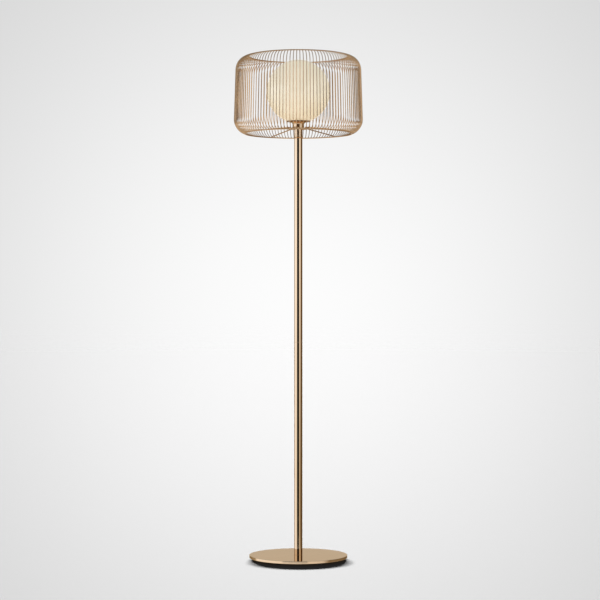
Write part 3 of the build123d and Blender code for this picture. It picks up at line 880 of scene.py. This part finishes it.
# The housing swells from the collar's width to its own as a power of a sine.
swell_rows = np.linspace(housing_low.z + 2 * collar, housing_high.z - collar, 9)
swell_share = (swell_rows - housing_low.z - collar) / (housing_high.z - housing_low.z - collar)
swell = (housing_high.x - screw_high.x) * np.sin(swell_share * np.pi / 2) ** housing_swell
housing_profile = np.concatenate(
    [
        [(0, housing_low.z), (screw_high.x - housing_edge, housing_low.z)],
        [(screw_high.x, housing_low.z + housing_edge), (screw_high.x, housing_low.z + collar)],
        np.stack([screw_high.x + swell, swell_rows], -1),
        [(housing_high.x, housing_high.z - housing_edge)],
        [(housing_high.x - housing_edge, housing_high.z), (0, housing_high.z)],
    ]
)
# Injection moulded PBT: white and glossy, with the slow waves of a moulded skin.
gloss_plastic = grained(
    "moulded_white_pbt",
    {"Base Color": linear(plastic_colour)},
    plastic_wave,
    roughness=plastic_roughness,
    height=plastic_wave_height,
)
housing = turned(housing_profile, 144)
make_piece(
    "bulb_driver_housing", [housing], gloss_plastic, "bulb", "bulb_plastic", "bulb_housing"
)
dome_profile = arc(dome_high.x, 0, np.pi / 2, 24) + (0, dome_low.z)
dome_profile[-1, 0] = 0
dome = turned(np.concatenate([[(0, dome_low.z)], dome_profile]), 72)
diffuser = frosted_diffuser(
    "frosted_polycarbonate", diffuser_colour, frost_grain, dome_light, dome_glow
)
make_piece("bulb_light_dome", [dome], diffuser, "bulb", "bulb_diffuser", "bulb_dome")

# ================================================================ globe
# Mouth blown opal glass, cased white inside clear, with a fire polished rim. Its glow is painted on
# as emission, for the light of the bulb within: even but for its foot, which has painted shade,
# weaker and yellower, where the lampholder stands in the way.
globe_low, globe_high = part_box("globe")
globe_radius = globe_high.x
globe_wall = 0.0025
globe_centre = globe_high.z - globe_radius
glass_colour = "#F1E6D0"
glass_cord = 0.04545
glass_cord_height = 0.0002
painted_glow_colours = "#FFDFA8", "#FFF6DC"  # at the foot and above it
painted_glow_strengths = 0.34, 0.44
# The weaker stretch at the foot is painted shade of the lampholder on the painted glow.
painted_shade_height = 0.09  # height of the weaker stretch
glow_evenness = 0.94, 1.06


def opal_globe(radius, wall, centre, rim, sides):
    """A shell of glass: the outer circle from the rim to the crown, the inner one back, and a
    half circle of the wall's thickness round the rim, all turned."""
    middle = radius - wall / 2
    first = np.arcsin((rim + wall / 2 - centre) / middle)
    ray = arc(1, first, np.pi / 2, 71)
    ray[-1] = 0, 1
    v = np.linspace(np.pi, 0, 9)[1:-1, None]
    lip = middle * ray[0] - wall / 2 * (
        np.cos(v) * ray[0] + np.sin(v) * np.array([-ray[0, 1], ray[0, 0]])
    )
    profile = np.concatenate([ray * radius, ray[::-1] * (radius - wall), lip[::-1]])
    return turned(closed(profile + (0, centre)), sides)


def cased_opal(name, colour, cord, colours, strengths):
    """Cased opal glass, lit: white in its depth, glossy and clear on its skin, with a painted glow
    that is weaker and yellower towards the foot as painted shade, and faint cords of the glass in
    its skin."""
    constants = {"Base Color": linear(colour), "Roughness": 0.12}
    clear_case = {"Coat Weight": 0.5, "Coat Roughness": 0.04}
    material, tree, shader, place = new_finish(name, constants | clear_case)
    height = add_node(tree, "ShaderNodeSeparateXYZ", {0: place}).outputs[2]
    # Painted shade: over the lowest stretch of the globe the painted glow is weaker and yellower,
    # as if the lampholder shaded it.
    climb = {0: height, 1: globe_low.z, 2: globe_low.z + painted_shade_height}
    share = add_node(tree, "ShaderNodeMapRange", climb, interpolation_type="SMOOTHSTEP")
    slow = {"Vector": place, "Scale": 1 / cord, "Detail": 1.0}
    cords = add_node(tree, "ShaderNodeTexNoise", slow)
    spread = {0: cords, 3: glow_evenness[0], 4: glow_evenness[1]}
    even = add_node(tree, "ShaderNodeMapRange", spread)
    glow = add_node(tree, "ShaderNodeMapRange", {0: share, 3: strengths[0], 4: strengths[1]})
    strength = add_node(tree, "ShaderNodeMath", {0: glow, 1: even}, operation="MULTIPLY")
    pair = {0: share, 6: linear(colours[0]), 7: linear(colours[1])}
    tone = add_node(tree, "ShaderNodeMix", pair, data_type="RGBA")
    bump = add_node(tree, "ShaderNodeBump", {"Height": cords, "Distance": glass_cord_height})
    feed(tree, shader, {"Emission Color": tone, "Emission Strength": strength, "Normal": bump})
    return material


opal_glass = cased_opal(
    "cased_opal_painted_glow", glass_colour, glass_cord, painted_glow_colours, painted_glow_strengths
)
shell = opal_globe(globe_radius, globe_wall, globe_centre, globe_low.z, 144)
make_piece("opal_globe", [shell], opal_glass, "globe", "opal_glass", "globe")

# ================================================================ studio
# A pale sweep. Its backdrop is brightest behind the lamp, and the floor's paint follows it as a
# painted pool of light; far out the floor fades into the backdrop, so it has no horizon. The room
# in front is dark but for two tall white panels, which draw the bright bands on the pole.
eye = np.array([0.0052, -5.81, 0.806])
lens_mm = 112.08
sensor_mm = 36.0
sweep_bright = 0.975
sweep_dim = 0.65
sweep_spread = 0.30  # sine of the angle off the axis of view at which the sweep is dimmest
floor_reach = 60.0
floor_fades = 14.0  # from here on the floor turns into the backdrop, which has the same tone
floor_paint = 0.06
sun_count = 5
sun_spread = np.radians(11)
sun_side = np.radians(4)
sun_height = np.radians(9.7)
sun_size = np.radians(3)
floor_sun = 16.3
floor_edge = -0.135  # sine of the slope at which mirrored rays begin to meet the floor
panel_change = -0.10, 0.03  # between these slopes the lower light turns into the upper
panel_top = 0.20, 0.32  # between these slopes the panels give way to the ceiling
ramp_step = 0.001
room_warmth = 0.90, 1.10, 1.50  # red, green and blue are these powers of the brightness
no_warmth = 1, 1, 1


def sweep_light_falloff(tree, direction):
    """Brightness of the sweep in a direction from the eye: it falls smoothly with the sine of
    the angle between the direction and the axis of view, which is level, along Y. The backdrop
    shows it as its light; the floor takes it into its paint, as a painted pool of light."""
    axes = add_node(tree, "ShaderNodeSeparateXYZ", {0: direction}).outputs
    off_axis = add_node(tree, "ShaderNodeCombineXYZ", {0: axes[0], 2: axes[2]})
    off = add_node(tree, "ShaderNodeVectorMath", {0: off_axis}, operation="LENGTH")
    fall = {0: off, 2: sweep_spread, 3: sweep_bright, 4: sweep_dim}
    return add_node(tree, "ShaderNodeMapRange", fall, interpolation_type="SMOOTHSTEP")


def slope_place(slope):
    """Where the sine of a slope, from -1 to 1, falls on a ramp from 0 to 1."""
    return 0.5 + slope / 2


def azimuths(*stops):
    """Ramp stops from degrees about the lamp: 0 is at the camera, and right is positive."""
    return [(0.5 + degrees / 360, level) for degrees, level in stops]


def graded(ramp, warmth, stops):
    """Gives a ramp its stops, each a place from 0 to 1 and a brightness. With warmth, the dim
    stretches are browner, as in a room."""
    ramp.color_ramp.elements[0].position, ramp.color_ramp.elements[1].position = 0, 1
    while len(ramp.color_ramp.elements) < len(stops):
        ramp.color_ramp.elements.new(0.5)
    for element, (place, level) in zip(ramp.color_ramp.elements, stops):
        element.position = place
        element.color = (*(level ** np.array(warmth)), 1)
    return ramp


floor_material = bpy.data.materials.new("sweep_paint_with_painted_pool")
floor_material.use_nodes = True
tree = floor_material.node_tree
tree.nodes.clear()
surface = add_node(tree, "ShaderNodeNewGeometry").outputs
spot = surface["Position"]
from_eye = add_node(tree, "ShaderNodeVectorMath", {0: spot, 1: eye}, operation="SUBTRACT")
level = add_node(tree, "ShaderNodeVectorMath", {0: from_eye}, operation="NORMALIZE")
# Painted light: the floor's paint takes the sweep's fall-off, a painted pool of light brightest
# along the axis of view.
share = {0: sweep_light_falloff(tree, level), "Scale": floor_paint}
paint = add_node(tree, "ShaderNodeVectorMath", share, operation="SCALE")
coat = add_node(tree, "ShaderNodeBsdfDiffuse", {"Color": paint})
gone = add_node(tree, "ShaderNodeBsdfTransparent")
off = add_node(tree, "ShaderNodeVectorMath", {0: spot}, operation="LENGTH")
edge = {0: off, 1: floor_fades, 2: floor_reach}
fade = add_node(tree, "ShaderNodeMapRange", edge, interpolation_type="SMOOTHSTEP")
behind = {0: fade, 1: surface["Backfacing"]}
unseen = add_node(tree, "ShaderNodeMath", behind, operation="MAXIMUM")
sweep = add_node(tree, "ShaderNodeMixShader", {0: unseen, 1: coat, 2: gone})
add_node(tree, "ShaderNodeOutputMaterial", {"Surface": sweep})

floor_mesh = bpy.data.meshes.new("sweep")
rim = turned([(floor_reach, 0)], 96)[0, :-1]
floor_mesh.from_pydata(rim.tolist(), [], [np.arange(len(rim)).tolist()])
floor_mesh.materials.append(floor_material)
floor = bpy.data.objects.new("sweep", floor_mesh)
bpy.context.scene.collection.objects.link(floor)
floor.visible_glossy = False

# Suns low behind the lamp light only the floor, and only the plate and its feet shade it.
floor_only = bpy.data.collections.new("floor_only")
floor_only.objects.link(floor)
foot_of_lamp = bpy.data.collections.new("foot_of_lamp")
for name in ("plate_disc", "foot_buttons"):
    foot_of_lamp.objects.link(bpy.data.objects[name])
for side in sun_side + np.linspace(-sun_spread, sun_spread, sun_count):
    sun = bpy.data.lights.new("floor_sun", "SUN")
    sun.energy = floor_sun * np.pi / (sun_count * np.sin(sun_height))
    sun.angle = sun_size
    lamp = bpy.data.objects.new("floor_sun", sun)
    bpy.context.scene.collection.objects.link(lamp)
    lamp.rotation_euler = (np.pi / 2 - sun_height, 0, np.pi + side)
    lamp.light_linking.receiver_collection = floor_only
    lamp.light_linking.blocker_collection = foot_of_lamp

# What metal mirrors: panels and dark gaps round the lamp, the ceiling above, the floor below.
world = bpy.data.worlds.new("studio")
bpy.context.scene.world = world
world.use_nodes = True
tree = world.node_tree
tree.nodes.clear()
ray = add_node(tree, "ShaderNodeTexCoord").outputs["Generated"]
axes = add_node(tree, "ShaderNodeSeparateXYZ", {0: ray}).outputs
front = add_node(tree, "ShaderNodeMath", {0: axes[1], 1: -1.0}, operation="MULTIPLY")
turn = add_node(tree, "ShaderNodeMath", {0: axes[0], 1: front}, operation="ARCTAN2")
part_turn = {0: turn, 1: 1 / (2 * np.pi), 2: 0.5}
around = add_node(tree, "ShaderNodeMath", part_turn, operation="MULTIPLY_ADD")
upper, lower, mirrored_floor = (
    graded(add_node(tree, "ShaderNodeValToRGB", {0: around}), room_warmth, azimuths(*stops))
    for stops in (
        (
            (-180, 0.9), (-168, 0.9), (-158, 0.3), (-122, 0.3), (-116, 1.2), (-60, 1.15),
            (-40, 1.1), (-34, 0.0), (20, 0.0), (24, 1.0), (68, 0.92), (77, 0.09), (122, 0.09),
            (126, 0.15), (158, 0.15), (168, 0.9), (180, 0.9),
        ),
        (
            (-180, 0.85), (-168, 0.85), (-158, 0.28), (-122, 0.28), (-116, 1.1), (-70, 1.0),
            (-40, 0.85), (-34, 0.0), (20, 0.0), (24, 0.6), (43, 0.5), (62, 0.25), (77, 0.07),
            (158, 0.12), (168, 0.85), (180, 0.85),
        ),
        (
            (-180, 0.9), (-168, 0.9), (-158, 0.42), (-122, 0.42), (-112, 0.95), (60, 0.9),
            (77, 0.25), (158, 0.25), (168, 0.9), (180, 0.9),
        ),
    )
)
change = {0: axes[2], 1: panel_change[0], 2: panel_change[1]}
climb = add_node(tree, "ShaderNodeMapRange", change)
eye_level = add_node(tree, "ShaderNodeMix", {0: climb, 6: lower, 7: upper}, data_type="RGBA")
half = {0: axes[2], 1: 0.5, 2: 0.5}
height = add_node(tree, "ShaderNodeMath", half, operation="MULTIPLY_ADD")
edge_place, (top_begins, top_ends) = slope_place(floor_edge), map(slope_place, panel_top)
near_level = graded(
    add_node(tree, "ShaderNodeValToRGB", {0: height}),
    no_warmth,
    [(0, 0), (edge_place - ramp_step, 0), (edge_place + ramp_step, 1)]
    + [(top_begins, 1), (top_ends, 0), (1, 0)],
)
overhead = graded(
    add_node(tree, "ShaderNodeValToRGB", {0: height}),
    no_warmth,
    [(top_begins, 0.85), (0.68, 0.5), (0.8, 0.33), (1, 0.3)],
)
horizon = {0: axes[2], 1: floor_edge - 2 * ramp_step, 2: floor_edge}
rise = add_node(tree, "ShaderNodeMapRange", horizon)
ends = {0: rise, 6: mirrored_floor, 7: overhead}
beyond = add_node(tree, "ShaderNodeMix", ends, data_type="RGBA")
whole = {0: near_level, 6: beyond, 7: eye_level}
room = add_node(tree, "ShaderNodeMix", whole, data_type="RGBA")
seen = add_node(tree, "ShaderNodeLightPath").outputs["Is Camera Ray"]
views = {0: seen, 6: room, 7: sweep_light_falloff(tree, ray)}
picture = add_node(tree, "ShaderNodeMix", views, data_type="RGBA")
sky = add_node(tree, "ShaderNodeBackground", {"Color": picture})
add_node(tree, "ShaderNodeOutputWorld", {"Surface": sky})

camera = bpy.data.objects.new("camera", bpy.data.cameras.new("camera"))
bpy.context.scene.collection.objects.link(camera)
camera.location = eye
camera.rotation_euler = (np.pi / 2, 0, 0)
camera.data.lens = lens_mm
camera.data.sensor_width = sensor_mm
camera.data.clip_end = 500
bpy.context.scene.camera = camera
bpy.context.scene.view_settings.view_transform = "Standard"
